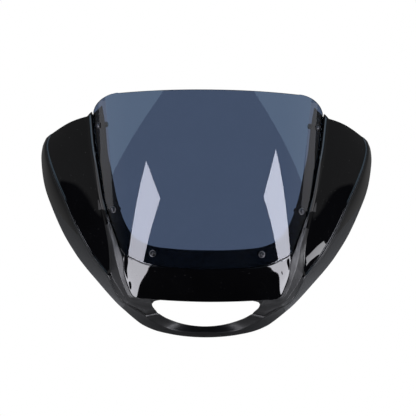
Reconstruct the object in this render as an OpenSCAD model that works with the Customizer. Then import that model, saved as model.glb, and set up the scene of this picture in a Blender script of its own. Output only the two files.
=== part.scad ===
// Motorcycle headlight fairing: a moulded gloss shell with a tinted windscreen.
// The shell and the windscreen are laid out in a layout frame that looks square on
// to the face of the fairing: X across, U up the face and D out of the face.
// The last step leans that frame back by the riding pitch, with +Z up and the face to -Y.

/* [Fairing shell] */
// Width of the shell over its two wings
fairing_w = 580; // [540:1:620]
// Wall of the moulded shell
shell_t = 3; // [2.5:0.1:3.6]
// Depth of the sunk panel in each wing
recess_depth = 6; // [3:0.5:8]
// Height of the bead beside the windscreen over the glass edge
bead_rise = 3; // [1.5:0.5:4]
// Turned-back edge round the outside of the shell
rim_return = 9; // [5:1:14]
// Riding pitch of the face, measured from upright
face_pitch = 40; // [34:1:46]

/* [Headlight opening] */
// Depth of the flange turned back from the headlight opening
tunnel_depth = 15; // [10:1:20]
// Clear width inside the flange
opening_w = 188; // [180:1:192]
// Clear depth of the opening below its widest line
opening_drop = 39; // [36:1:41]

/* [Windscreen] */
// Thickness of the windscreen
screen_t = 3; // [2.5:0.1:4]
// Radius of the windscreen across its face
screen_r = 350; // [335:1:380]
// Rise of the windscreen from its foot to its top edge, square on
screen_h = 313.5; // [300:0.5:330]
// Extra slope of the side strips at the top, rise over run
strip_slope = 0.42; // [0.2:0.01:0.5]
// Room left round the edge of the windscreen
screen_gap = 1.2; // [0.8:0.1:1.6]
// Play of the rubber flanges between windscreen and shell
flange_room = 0.5; // [0.4:0.05:0.8]

/* [Fasteners] */
// Nominal size of the screws
screw_d = 5; // [4:0.5:5]
// Length of the screws under the head
screw_len = 22; // [20:1:26]
// Diameter of the washers
washer_d = 12; // [11:0.5:14]
// Thickness of the washers
washer_t = 1; // [0.6:0.1:1.4]
// Body diameter of the rubber well nuts
well_d = 9.8; // [9.2:0.1:10.4]
// Length of the well nut bodies
well_len = 17; // [14:1:19]
// Flange diameter of the well nuts
well_flange_d = 14; // [13:0.5:16]
// Flange thickness of the well nuts
well_flange_t = 1.2; // [0.9:0.1:1.2]

/* [Fork bracket bosses] */
// Distance between the left and right bosses
boss_pitch_w = 296; // [290:1:300]
// Height of the upper bosses over the lower ones
boss_pitch_h = 54; // [50:1:58]
// Thread of the brass inserts
insert_thread = 6; // [5:1:6]
// Outside diameter of the brass inserts
insert_d = 9; // [8.5:0.1:9.5]
// Length of the brass inserts
insert_len = 12; // [10:1:14]
// Diameter of the moulded bosses
boss_d = 17; // [15:0.5:19]

/* [Hidden] */
$fn = 48;
// The design sizes at which the guide curves below were drawn
drawn_w = 580;
screen_foot = -95;

// Guide curves of the right half, by station: station 0 is the wing's top edge, 6 the tip
// of the wing panel, 8 the side of the headlight opening and 10 the middle. [station, x, u, d]
guide_opening = [[0, 186, 188], [0.6, 180, 150], [1.3, 175.5, 105], [2, 169, 76], [3, 158.5, 26],
  [4, 144, -16], [5, 127, -41], [6, 108, -52], [7, 88, -57.5], [8, 66, -60], [9, 34, -62],
  [10, 0, -62.5]];
guide_edge = [[0, 200.5, 173], [1, 195, 118], [2, 187.5, 72], [3, 179.6, 25], [4, 168.5, -11],
  [5, 156, -45], [5.6, 150.5, -60], [6, 144, -68.5], [7, 127, -78], [8, 104, -87], [9, 54, -93],
  [10, 0, -95]];
guide_forehead = [[5.6, 152.3, -62, 163], [6, 146, -82, 160], [6.5, 144, -103, 155], [7, 137, -125, 149],
  [7.5, 126, -145, 146], [8, 101, -148.5, 153], [9, 60, -151.5, 164], [10, 0, -153, 168]];
guide_crest = [[0, 205.5, 172.5, 143], [1, 199.8, 118, 144], [2, 191.8, 72, 149.5], [3, 183.2, 25, 154],
  [4, 173.8, -11, 159.5], [5, 166.5, -45, 160], [5.6, 162, -69, 161], [6, 156, -92, 158],
  [7, 144, -128, 147], [7.5, 131, -149, 141], [8, 108, -156, 130]];
guide_panel_in = [[0, 209, 171, 141], [1, 203.6, 117, 142], [2, 195.5, 70, 147], [3, 187, 24, 151.5],
  [4, 177.8, -13, 156], [5, 171, -48, 155], [5.6, 168, -78, 149], [6, 167, -103, 139],
  [7, 150, -134, 132], [7.5, 134.5, -153, 131], [8, 108.5, -161, 119]];
guide_panel_out = [[0, 275, 137.5, 74], [0.4, 281, 119, 73], [1, 277.5, 95, 81], [2, 264, 57, 93],
  [3, 248, 22, 101], [4, 229, -22, 107], [5, 204, -67, 114], [5.6, 187, -90, 122], [6, 173, -108, 131],
  [7, 156.5, -140, 115], [7.5, 139.5, -158, 112], [8, 102.5, -181, 64]];
guide_band = [[7, 160, -143, 99], [7.5, 142.5, -160.5, 98], [8, 98, -185.5, 54], [9, 56, -203, 17],
  [10, 0, -207, 9]];
guide_rim = [[0, 282, 131, 63], [0.4, 288, 116, 55], [1, 290, 92, 48], [2, 284, 48, 43],
  [3, 270, 8, 43], [4, 250, -36, 46], [5, 226, -75, 52], [5.6, 209, -97, 57], [6, 196, -112, 60],
  [7, 165, -147, 63], [7.5, 145, -166.5, 60],
  [8, 109, -195.5, 34], [9, 60, -211.5, 9], [10, 0, -217, 3]];

// Cubic curve through the rows of a guide, flat across the middle line
function mirrored(g) = let (n = len(g), a = g[n - 2])
  g[n - 1][0] == 10 ? concat(g, [concat([20 - a[0], -a[1]], [for (k = [2 : len(a) - 1]) a[k]])]) : g;
function seg(g, s, i = 0) = i < len(g) - 2 && s > g[i + 1][0] ? seg(g, s, i + 1) : i;
function slope(g, i) = let (a = g[max(i - 1, 0)], b = g[min(i + 1, len(g) - 1)]) (b - a) / (b[0] - a[0]);
function guide(g, s) =
  let (i = seg(g, s), a = g[i], b = g[i + 1], h = b[0] - a[0], t = (s - a[0]) / h,
       p = (2 * t ^ 3 - 3 * t ^ 2 + 1) * a + (t ^ 3 - 2 * t ^ 2 + t) * h * slope(g, i)
         + (3 * t ^ 2 - 2 * t ^ 3) * b + (t ^ 3 - t ^ 2) * h * slope(g, i + 1))
  [for (k = [1 : len(a) - 1]) p[k]];
function unit(v) = v / norm(v);
function ease(t) = let (c = min(max(t, 0), 1)) c * c * (3 - 2 * c);
function mix(a, b, t) = a + (b - a) * t;

g_opening = mirrored(guide_opening);
g_edge = mirrored(guide_edge);
g_forehead = mirrored(guide_forehead);
g_band = mirrored(guide_band);
g_rim = mirrored(guide_rim);

// Face of the windscreen: a cylinder leaning back, with its sides creased back
face_d = 195;
face_lean = 0.064;
crease_x = 164.5;
crease_lean = 0.093;
crease_soft = 3;
function sag(x) = screen_r - sqrt(screen_r ^ 2 - x ^ 2);
function soft(v) = v < -crease_soft ? 0 : v > crease_soft ? v : (v + crease_soft) ^ 2 / (4 * crease_soft);
function face(x, u) = face_d + (u - screen_foot) * face_lean - sag(x)
  - strip_slope * ease((u + 40) / 170) * soft(abs(x) - crease_x - crease_lean * u);
function face_normal(x, u, e = 0.5) =
  unit([face(x - e, u) - face(x + e, u), face(x, u - e) - face(x, u + e), 2 * e]);
// The rubber flanges keep the windscreen off its seat
seat_gap = well_flange_t + flange_room;
function seat(x, u) = face(x, u) - (screen_t + seat_gap) / face_normal(x, u)[2];

// Outward direction across the edge of the windscreen
function edge_out(s) =
  let (t = unit(guide(g_edge, s + 0.1) - guide(g_edge, max(s - 0.1, 0)))) [-t[1], t[0]];
// Wings move out with the width of the shell, down to the tip of their panels
function widen(s, p) = p + [(fairing_w - drawn_w) / 2 * ease((5.6 - s) / 3), 0, 0];
function put(p, d) = [p[0], p[1], d];

// One section of the shell at station s, from the screen opening out to the rim
wall_run = 1.2;
top_bow = 4.5;
// The turned-back edge runs back and a little inwards
rim_draw = 0.35;
rim_aim = 140;
function section(s) =
  let (
    low = ease((s - 5.5) / 0.5),
    a = guide(g_opening, s), e = guide(g_edge, s), n = edge_out(s),
    foot = e + n * screen_gap,
    bank = e + n * (screen_gap + 1),
    tuck = put(bank, seat(bank[0], bank[1])),
    fore = mix(tuck, s < 5.6 ? tuck : guide(g_forehead, s), low),
    step = foot + n * mix(0.25, 0.6, low),
    step_d = mix(seat(step[0], step[1]), face(e[0], e[1]) + 0.2, low),
    crest = s < 8 ? guide(guide_crest, s) : guide(guide_crest, 8),
    lane = unit(crest - fore),
    over = mix(face(e[0], e[1]) + bead_rise - 1, fore[2] + 3.4 * ease((7.6 - s) / 1.6), low),
    wall = s < 8 ? put(fore + lane * wall_run, over) : mix(fore, crest, 0.45),
    valley = mix(wall, crest, 0.5) - [0, 0, 1.2 * ease((s - 3.2) / 1) * ease((5.6 - s) / 1)],
    din = s < 8 ? guide(guide_panel_in, s) : guide(guide_panel_in, 8),
    dout = s < 8 ? widen(s, guide(guide_panel_out, s)) : guide(guide_panel_out, 8),
    sunk = recess_depth * ease((6 - s) / 0.13),
    across = unit([dout[0] - din[0], dout[1] - din[1], 0]),
    run = s > 7.5 ? 4 : mix(0.6, 1.6, ease((6 - s) / 0.13)),
    pin = mix(din, dout, 0.02) + across * run - [0, 0, sunk * mix(0.35, 1, ease(s / 4))],
    pout = mix(dout, din, 0.02) - across * run - [0, 0, sunk * mix(0.15, 0.5, ease(s / 4))],
    rim = widen(s, guide(g_rim, s)),
    band = s < 7 ? mix(dout, rim, 0.34) + [0, 0, 3] : guide(g_band, s)
  )
  concat(
    [for (t = [0, 0.5, 1]) let (p = mix(a, foot, t)) put(p, seat(p[0], p[1]))],
    [put(step, step_d)],
    [for (t = [1 / 3, 2 / 3]) let (p = mix(put(step, step_d), fore, t))
      put(p, mix(seat(p[0], p[1]), p[2] + 3.5 * sin(180 * t) * ease((s - 6) / 1), low))],
    [fore, wall, valley, crest, din, pin],
    [for (t = [0.25, 0.5, 0.75]) mix(pin, pout, t)
      + [0, top_bow * sin(180 * t) * ease((2.4 - s) / 2.4), 2.5 * sin(180 * t) * ease((6 - s) / 1)]],
    [pout, dout, band, mix(band, rim, 0.5) + [0, 0, 1.5], rim,
     rim - rim_return * unit(put(rim * rim_draw, rim_aim))]
  );

row_fore = 6;
row_band = 17;
stations = concat([0, 0.15, 0.3, 0.5], [for (s = [0.8 : 0.4 : 5.2]) s],
  [5.6, 5.75, 5.87, 6, 6.15, 6.4, 6.7, 7, 7.25, 7.5, 7.75], [for (s = [8 : 0.25 : 10]) s]);
side_cols = len(stations) - 9;
half = [for (s = stations) section(s)];
rows = len(half[0]);
mid = len(half) - 1;
cols = 2 * mid + 1;

function flip(p) = [-p[0], p[1], p[2]];
function skin(i, j) = j <= mid ? half[j][i] : flip(half[2 * mid - j][i]);
function in_hole(i, j) = i >= row_fore && i < row_band && j >= side_cols && j < cols - 1 - side_cols;
function used(i, j) = j <= side_cols || j >= cols - 1 - side_cols || i <= row_fore || i >= row_band;

// Rows across which the slope of each row is taken, so that a bead or a step doesn't tip it
row_span = [[0, 2], [0, 2], [0, 2], [3, 6], [3, 6], [3, 6], [4, 6], [6, 11], [6, 11], [6, 11], [6, 11],
  [11, 12], [11, 13], [12, 14], [13, 15], [14, 15], [15, 17], [17, 18], [17, 19], [18, 20], [19, 20]];
function station_at(j) = stations[j <= mid ? j : 2 * mid - j];
function low_at(j) = ease((station_at(j) - 5.5) / 0.5);
function col_near(i, j, k) = let (c = min(max(k, 0), cols - 1)) used(i, c) ? c : j;
function slope_across(i, j, span) = unit(cross(
  skin(i, col_near(i, j, j + 1)) - skin(i, col_near(i, j, j - 1)), skin(span[1], j) - skin(span[0], j)));
function skin_normal(i, j) = i > 2 && i <= row_fore && low_at(j) < 1
  ? unit(mix(slope_across(2, j, row_span[2]), slope_across(i, j, row_span[i]), low_at(j)))
  : slope_across(i, j, row_span[i]);

// Loop round the headlight opening, as [row, column]
hole_loop = concat(
  [for (j = [side_cols : cols - 1 - side_cols]) [row_fore, j]],
  [for (i = [row_fore + 1 : row_band]) [i, cols - 1 - side_cols]],
  [for (j = [cols - 2 - side_cols : -1 : side_cols]) [row_band, j]],
  [for (i = [row_band - 1 : -1 : row_fore + 1]) [i, side_cols]]);
hole_n = len(hole_loop);
function hole_pt(k) = let (c = hole_loop[(k + hole_n) % hole_n]) skin(c[0], c[1]);
function hole_at(i, j) = [for (k = [0 : hole_n - 1]) if (hole_loop[k] == [i, j]) k];
// The flange ends in an oval that is flattened along its top, under the forehead
opening_u = -157;
opening_rise = 10;
side_round = 1.85;
top_round = 2.5;
function oval(p) =
  let (a = min(atan2(p[1] - opening_u, abs(p[0])), 0), n = side_round,
    r = ((2 * cos(a) / opening_w) ^ n + (-sin(a) / opening_drop) ^ n) ^ (-1 / n))
  [sign(p[0]) * r * cos(a), opening_u + r * sin(a)];
function brow(p) =
  let (t = p[0] / skin(row_fore, side_cols)[0], n = top_round)
  [t * opening_w / 2, opening_u + opening_rise * (1 - min(abs(t), 1) ^ n) ^ (1 / n)];
function tunnel_end(k) =
  let (p = hole_pt(k), e = hole_loop[(k + hole_n) % hole_n][0] == row_fore ? brow(p) : oval(p))
  [e[0], e[1], p[2] - tunnel_depth * sin(face_pitch)];
function hole_away(k) =
  let (t = unit(hole_pt(k - 1) - hole_pt(k + 1))) unit(cross(t, unit(tunnel_end(k) - hole_pt(k))));

// Inner face of the wall: it follows the outer one, but runs straight under the beads
row_pin = 11;
row_dout = 16;
function away_at(j) = let (e = edge_out(station_at(j))) [j <= mid ? e[0] : -e[0], e[1], 0];
end_lean = 1;
function rear(i, j) = skin(i, j) - skin_normal(i == row_fore + 1 ? row_fore : i, j) * shell_t
  + (j == 0 || j == cols - 1 ? end_lean * unit(skin(i, j) - skin(i, j == 0 ? 1 : j - 1)) : [0, 0, 0])
  + (i > 1 && i < row_fore ? away_at(j) * shell_t * low_at(j) * [0.8, 0.8, 0.53, 0.27][i - 2] : [0, 0, 0]);
function under_step(i, j) = mix(mix(rear(2, j), rear(row_fore, j), (i - 2) / (row_fore - 2)),
  rear(i, j), ease((station_at(j) - 6) / 0.5));
function under_bead(i, j) =
  let (a = rear(row_fore, j) + unit(skin(row_fore, j) - skin(row_fore - 1, j)) * shell_t)
  mix(rear(i, j), mix(a, rear(row_pin, j), (i - row_fore - 1) / (row_pin - row_fore - 1)),
    ease((7.5 - station_at(j)) / 0.4));
function inner(i, j) =
  let (h = hole_at(i, j), n = skin_normal(i, j), m = len(h) > 0 ? hole_away(h[0]) : n)
  len(h) > 0 ? skin(i, j) + (m - n) * shell_t / max(1 - n * m, 0.4)
    : i > 2 && i < row_fore ? under_step(i, j)
    : i > row_fore && i < row_pin ? under_bead(i, j)
    : i == row_dout ? mix(rear(row_dout - 1, j), rear(row_dout + 1, j), 0.45) : rear(i, j);

function quad(a, b, c, d) = [[a, c, b], [a, d, c]];
module shell_skin() {
  pts = concat(
    [for (i = [0 : rows - 1]) for (j = [0 : cols - 1]) skin(i, j)],
    [for (i = [0 : rows - 1]) for (j = [0 : cols - 1]) used(i, j) ? inner(i, j) : skin(i, j)],
    [for (k = [0 : hole_n - 1]) tunnel_end(k)],
    [for (k = [0 : hole_n - 1]) tunnel_end(k) + hole_away(k) * shell_t]);
  n = rows * cols;
  faces = concat(
    [for (i = [0 : rows - 2]) for (j = [0 : cols - 2]) if (!in_hole(i, j))
      each quad(i * cols + j, i * cols + j + 1, (i + 1) * cols + j + 1, (i + 1) * cols + j)],
    [for (i = [0 : rows - 2]) for (j = [0 : cols - 2]) if (!in_hole(i, j))
      let (a = n + i * cols + j, b = a + cols) each quad(b, b + 1, a + 1, a)],
    [for (j = [0 : cols - 2]) each quad(j, n + j, n + j + 1, j + 1)],
    [for (j = [0 : cols - 2]) let (r = (rows - 1) * cols)
      each quad(r + j + 1, n + r + j + 1, n + r + j, r + j)],
    [for (i = [0 : rows - 2]) each quad(n + (i + 1) * cols, n + i * cols, i * cols, (i + 1) * cols)],
    [for (i = [0 : rows - 2]) let (c = cols - 1)
      each quad(i * cols + c, n + i * cols + c, n + (i + 1) * cols + c, (i + 1) * cols + c)],
    [for (k = [0 : hole_n - 1]) let (q = (k + 1) % hole_n, a = hole_loop[k][0] * cols + hole_loop[k][1],
        b = hole_loop[q][0] * cols + hole_loop[q][1], e = 2 * n + k, f = 2 * n + q)
      each concat(quad(a, b, f, e), quad(e, f, f + hole_n, e + hole_n),
        quad(e + hole_n, f + hole_n, n + b, n + a))]);
  polyhedron(pts, faces, convexity = 12);
}

// The origin is midway between the upper bracket bosses, in the plane of their rear ends.
// Their depth behind the face of the windscreen leaves a wall in front of the inserts.
boss_set = 21.8;
boss_u = -49.4;
boss_face = face(boss_pitch_w / 2, boss_u) - boss_set;
upper_y = boss_u * cos(face_pitch) - boss_face * sin(face_pitch);
upper_z = boss_u * sin(face_pitch) + boss_face * cos(face_pitch);
lower_set_y = -26;
// Leans a shape from the layout frame into the riding frame
module lean() translate([0, -upper_y, -upper_z]) rotate([face_pitch, 0, 0]) children();

// Screw places on the face of the windscreen, right side
spot_upper = [192, 154];
spot_mid = [165, 7];
spot_lower = [95, -69];
function spot(name, side) = let (p = name == "upper" ? spot_upper : name == "mid" ? spot_mid : spot_lower)
  [side * p[0], p[1]];
// Stands children on the face at p, with Z along its normal and zero on its outer surface
module on_face(p) {
  n = face_normal(p[0], p[1]);
  lean() translate([p[0], p[1], face(p[0], p[1])])
    rotate([0, acos(n[2]), atan2(n[1], n[0])]) children();
}

// Windscreen outline: the edge guide up both sides, rounded top corners and an arched top
corner_s = 6.2;
corner_x = 150;
corner_u = 172.5;
corner_rx = 51;
top_arch = 7;
screen_top = screen_foot + screen_h;
corner_ry = screen_top - top_arch - corner_u;
side_edge = concat([for (k = [0 : 15]) guide(g_edge, corner_s - k * corner_s / 15.5)],
  [for (a = [6 : 14 : 90]) [corner_x + corner_rx * cos(a), corner_u + corner_ry * sin(a)]]);
across_w = [0, 0.12, 0.24, 0.36, 0.48, 0.6, 0.71, 0.8, 0.87, 0.905, 0.935, 0.965, 1];
n_side = len(side_edge) - 1;
n_half = len(across_w) - 1;
function foot_line(w) = guide(g_edge, 10 - (10 - corner_s) * w);
function top_line(w) = let (x = w * side_edge[n_side][0])
  [x, screen_top - top_arch * (x / corner_x) ^ 2.2];
function pane(k, w) =
  let (v = ease(k / n_side), e = side_edge[k], b = foot_line(w), t = top_line(w),
    be = side_edge[0], te = side_edge[n_side],
    x = e[0] * mix(b[0] / be[0], t[0] / te[0], v),
    u = e[1] + (b[1] - be[1]) * (1 - v) ^ 1.5 + (t[1] - te[1]) * v ^ 1.5)
  [x, u, face(x, u)];
function pane_pt(k, c) = c < n_half ? flip(pane(k, across_w[n_half - c])) : pane(k, across_w[c - n_half]);
module pane_skin() {
  rows_p = n_side + 1;
  cols_p = 2 * n_half + 1;
  n = rows_p * cols_p;
  front = [for (k = [0 : rows_p - 1]) for (c = [0 : cols_p - 1]) pane_pt(k, c)];
  faces = concat(
    [for (k = [0 : rows_p - 2]) for (c = [0 : cols_p - 2]) let (a = k * cols_p + c)
      each concat(quad(a, a + 1, a + cols_p + 1, a + cols_p),
        quad(n + a + cols_p, n + a + cols_p + 1, n + a + 1, n + a))],
    [for (c = [0 : cols_p - 2]) let (t = (rows_p - 1) * cols_p)
      each concat(quad(c, n + c, n + c + 1, c + 1), quad(t + c + 1, n + t + c + 1, n + t + c, t + c))],
    [for (k = [0 : rows_p - 2]) let (a = k * cols_p, b = a + cols_p - 1)
      each concat(quad(a + cols_p, n + a + cols_p, n + a, a),
        quad(b, n + b, n + b + cols_p, b + cols_p))]);
  polyhedron(concat(front, [for (p = front) p - face_normal(p[0], p[1]) * screen_t]), faces, convexity = 6);
}
screw_clear = 1.5;
module windscreen() {
  color([0.16, 0.2, 0.27, 0.75]) difference() {
    lean() pane_skin();
    for (name = ["upper", "mid", "lower"], side = [1, -1])
      on_face(spot(name, side)) translate([0, 0, -screen_t - 4])
        cylinder(d = screw_d + screw_clear, h = screen_t + 8);
  }
}

// Button head screw with a hexagon socket, standing on its washer
head_r = 0.95 * screw_d;
head_h = 0.55 * screw_d;
stack_lift = 0.15;
module screw(name, side) {
  color([0.12, 0.12, 0.13]) on_face(spot(name, side)) translate([0, 0, stack_lift + washer_t])
    difference() {
      union() {
        rotate_extrude() intersection() {
          translate([0, head_h - 1.25 * head_r]) circle(r = 1.25 * head_r, $fn = 96);
          square([head_r, head_h]);
        }
        translate([0, 0, 0.01 - screw_len]) cylinder(d = screw_d, h = screw_len);
      }
      translate([0, 0, head_h - 0.3 * screw_d]) cylinder(d = 0.7 * screw_d, h = screw_d, $fn = 6);
    }
}
module washer(name, side) {
  color([0.16, 0.16, 0.17]) on_face(spot(name, side)) translate([0, 0, stack_lift]) difference() {
    cylinder(d = washer_d, h = washer_t);
    translate([0, 0, -1]) cylinder(d = screw_d + 0.4, h = washer_t + 2);
  }
}

// Rubber well nut: a flanged sleeve through the shell with a brass nut moulded in its far end
nut_len = 8;
nut_d = 7.4;
well_top = -screen_t - seat_gap / 2 - well_flange_t / 2;
module well_nut(name, side) {
  color([0.05, 0.05, 0.05]) on_face(spot(name, side)) translate([0, 0, well_top]) difference() {
    union() {
      cylinder(d = well_flange_d, h = well_flange_t);
      translate([0, 0, -well_len]) cylinder(d = well_d, h = well_len + 0.1);
    }
    translate([0, 0, nut_len - well_len]) cylinder(d = screw_d + 0.3, h = well_len + well_flange_t);
    translate([0, 0, -well_len - 1]) cylinder(d = nut_d, h = nut_len + 1);
  }
}
module nut_insert(name, side) {
  color([0.72, 0.55, 0.25]) on_face(spot(name, side)) translate([0, 0, well_top - well_len]) difference() {
    cylinder(d = nut_d, h = nut_len);
    translate([0, 0, -1]) cylinder(d = screw_d + 0.1, h = nut_len + 2);
  }
}

// Stands children on the rear end of a boss, Z pointing straight back
module on_bracket(level, side)
  translate([side * boss_pitch_w / 2, level > 0 ? 0 : lower_set_y, level > 0 ? 0 : -boss_pitch_h])
    rotate([-90, 0, 0]) children();
boss_reach = 60;
// The space behind the middle of the wall, where the bosses grow out of it
behind_reach = 130;
module behind_wall(side) {
  r0 = 0;
  r1 = rows - 3;
  c0 = 10;
  c1 = side_cols;
  nr = r1 - r0 + 1;
  nc = c1 - c0 + 1;
  shift = [0, 0, -behind_reach];
  top = [for (i = [r0 : r1]) for (j = [c0 : c1]) let (p = skin(i, j) - skin_normal(i, j) * shell_t / 2)
    [side * p[0], p[1], p[2]]];
  n = nr * nc;
  front = [for (i = [0 : nr - 2]) for (j = [0 : nc - 2]) let (a = i * nc + j)
    each quad(a, a + 1, a + nc + 1, a + nc)];
  rear = [for (f = front) [f[0] + n, f[2] + n, f[1] + n]];
  sides = concat(
    [for (j = [0 : nc - 2]) each concat(quad(j, n + j, n + j + 1, j + 1),
      let (t = (nr - 1) * nc) quad(t + j + 1, n + t + j + 1, n + t + j, t + j))],
    [for (i = [0 : nr - 2]) let (a = i * nc, b = a + nc - 1) each concat(
      quad(a + nc, n + a + nc, n + a, a), quad(b, n + b, n + b + nc, b + nc))]);
  all_faces = concat(front, rear, sides);
  polyhedron(concat(top, [for (p = top) p + shift]),
    side > 0 ? all_faces : [for (f = all_faces) [f[0], f[2], f[1]]], convexity = 8);
}
module bosses() {
  for (side = [1, -1]) intersection() {
    lean() behind_wall(side);
    union() for (level = [1, -1]) on_bracket(level, side) translate([0, 0, -boss_reach])
      cylinder(d = boss_d, h = boss_reach);
  }
}
insert_fit = 0.05;
insert_room = 2;
module fairing_shell() {
  color([0.02, 0.02, 0.025]) difference() {
    union() {
      lean() shell_skin();
      bosses();
    }
    for (name = ["upper", "mid", "lower"], side = [1, -1])
      on_face(spot(name, side)) translate([0, 0, -screen_t - seat_gap - shell_t - 5])
        cylinder(d = well_d + 0.4, h = shell_t + 9);
    for (level = [1, -1], side = [1, -1])
      on_bracket(level, side) translate([0, 0, -insert_len - insert_room])
        cylinder(d = insert_d + 2 * insert_fit, h = insert_len + insert_room + 1);
  }
}
module bracket_insert(level, side) {
  color([0.72, 0.55, 0.25]) on_bracket(level, side) translate([0, 0, -insert_len]) difference() {
    cylinder(d = insert_d, h = insert_len);
    translate([0, 0, -1]) cylinder(d = insert_thread, h = insert_len + 2);
  }
}

fairing_shell();
windscreen();
for (name = ["upper", "mid", "lower"], side = [1, -1]) {
  place = str(name, side > 0 ? "_right" : "_left");
  screw(name, side);
  washer(name, side);
  well_nut(name, side);
  nut_insert(name, side);
}
for (level = [1, -1], side = [1, -1]) {
  place = str(level > 0 ? "upper" : "lower", side > 0 ? "_right" : "_left");
  bracket_insert(level, side);
}
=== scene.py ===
import math
import bpy
import numpy as np
from mathutils import Matrix, Vector
from mathutils.bvhtree import BVHTree


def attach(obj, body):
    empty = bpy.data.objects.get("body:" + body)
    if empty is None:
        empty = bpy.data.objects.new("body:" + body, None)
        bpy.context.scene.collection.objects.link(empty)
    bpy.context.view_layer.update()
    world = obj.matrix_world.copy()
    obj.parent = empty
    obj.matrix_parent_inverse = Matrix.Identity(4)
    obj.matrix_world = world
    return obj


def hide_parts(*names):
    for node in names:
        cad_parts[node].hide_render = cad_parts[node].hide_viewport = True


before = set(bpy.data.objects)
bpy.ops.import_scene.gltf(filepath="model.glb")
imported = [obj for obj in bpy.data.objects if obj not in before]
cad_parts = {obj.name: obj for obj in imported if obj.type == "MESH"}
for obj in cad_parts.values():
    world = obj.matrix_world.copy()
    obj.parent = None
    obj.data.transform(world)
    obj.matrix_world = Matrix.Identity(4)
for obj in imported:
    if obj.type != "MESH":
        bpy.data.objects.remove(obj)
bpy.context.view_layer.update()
print("frame loaded:", len(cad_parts), "nodes")

# Everything is laid out in millimetres in a frame that looks square on to the face:
# X across, U up the face and D out of the face. toRow leans it back and gives metres.
# The row's origin lies midway between the rear ends of the two upper bracket bosses.
lean = {"pitch": 40.0, "bossX": 148.0, "bossU": -49.4, "bossSet": 21.8}
leanCos = math.cos(math.radians(lean["pitch"]))
leanSin = math.sin(math.radians(lean["pitch"]))


def turn(v):
    v = np.asarray(v, float)
    return np.stack([v[..., 0], v[..., 1] * leanCos - v[..., 2] * leanSin,
                     v[..., 1] * leanSin + v[..., 2] * leanCos], -1)


def toRow(points):
    return (turn(points) - origin) / 1000


def unit(v):
    v = np.asarray(v, float)
    return v / np.maximum(np.linalg.norm(v, axis=-1, keepdims=True), 1e-12)


def ease(t):
    c = min(max(t, 0.0), 1.0)
    return c * c * (3 - 2 * c)


def mix(a, b, t):
    return a + (b - a) * t


# Stations run from the wing's top edge (0) past its lower end (6) and the side of the
# headlight opening (8) to the middle (10). Each row is station, x, u and, on most, d.
guides = {
    "opening": [
        [0, 186, 188], [0.6, 180, 150], [1.3, 175.5, 105], [2, 169, 76], [3, 158.5, 26], [4, 144, -16],
        [5, 127, -41], [6, 108, -52], [7, 88, -57.5], [8, 66, -60], [9, 34, -62], [10, 0, -62.5]],
    "edge": [
        [0, 200.5, 173], [1, 195, 118], [2, 187.5, 72], [3, 179.6, 25], [4, 168.5, -11], [5, 156, -45],
        [5.6, 150.5, -60], [6, 144, -68.5], [7, 127, -78], [8, 104, -87], [9, 54, -93], [10, 0, -95]],
    "forehead": [
        [5.6, 152.3, -62, 163], [6, 146, -82, 160], [6.5, 144, -103, 155], [7, 137, -125, 149],
        [7.5, 126, -145, 146], [8, 101, -148.5, 153], [9, 60, -151.5, 164], [10, 0, -153, 168]],
    "crest": [
        [0, 205.5, 172.5, 143], [1, 199.8, 118, 144], [2, 191.8, 72, 149.5], [3, 183.2, 25, 154],
        [4, 173.8, -11, 159.5], [5, 166.5, -45, 160], [5.6, 162, -69, 161], [6, 156, -92, 158],
        [7, 144, -128, 147], [7.5, 131, -149, 141], [8, 108, -156, 130]],
    "panelIn": [
        [0, 209, 171, 141], [1, 203.6, 117, 142], [2, 195.5, 70, 147], [3, 187, 24, 151.5],
        [4, 177.8, -13, 156], [5, 171, -48, 155], [5.6, 168, -78, 149], [6, 167, -103, 139],
        [7, 150, -134, 132], [7.5, 134.5, -153, 131], [8, 108.5, -161, 119]],
    "panelOut": [
        [0, 275, 137.5, 74], [0.4, 281, 119, 73], [1, 277.5, 95, 81], [2, 264, 57, 93], [3, 248, 22, 101],
        [4, 229, -22, 107], [5, 204, -67, 114], [5.6, 187, -90, 122], [6, 173, -108, 131],
        [7, 156.5, -140, 115], [7.5, 139.5, -158, 112], [8, 102.5, -181, 64]],
    "band": [
        [7, 160, -143, 99], [7.5, 142.5, -160.5, 98], [8, 98, -185.5, 54], [9, 56, -203, 17],
        [10, 0, -207, 9]],
    "rim": [
        [0, 282, 131, 63], [0.4, 288, 116, 55], [1, 290, 92, 48], [2, 284, 48, 43], [3, 270, 8, 43],
        [4, 250, -36, 46], [5, 226, -75, 52], [5.6, 209, -97, 57], [6, 196, -112, 60],
        [7, 165, -147, 63], [7.5, 145, -166.5, 60], [8, 109, -195.5, 34], [9, 60, -211.5, 9],
        [10, 0, -217, 3]],
}


def prepareGuide(rows):
    rows = [[float(v) for v in r] for r in rows]
    if rows[-1][0] == 10:  # one mirrored row, so that the curve crosses the middle flat
        r = rows[-2]
        rows.append([20 - r[0], -r[1]] + r[2:])
    return np.array(rows)


curves = {name: prepareGuide(rows) for name, rows in guides.items()}


def guide(name, s):
    g = curves[name]
    i = 0
    while i < len(g) - 2 and s > g[i + 1][0]:
        i += 1

    def slope(k):
        a, b = g[max(k - 1, 0)], g[min(k + 1, len(g) - 1)]
        return (b - a) / (b[0] - a[0])

    a, b = g[i], g[i + 1]
    h = b[0] - a[0]
    t = (s - a[0]) / h
    p = ((2 * t**3 - 3 * t**2 + 1) * a + (t**3 - 2 * t**2 + t) * h * slope(i)
         + (3 * t**2 - 2 * t**3) * b + (t**3 - t**2) * h * slope(i + 1))
    return p[1:]


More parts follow.
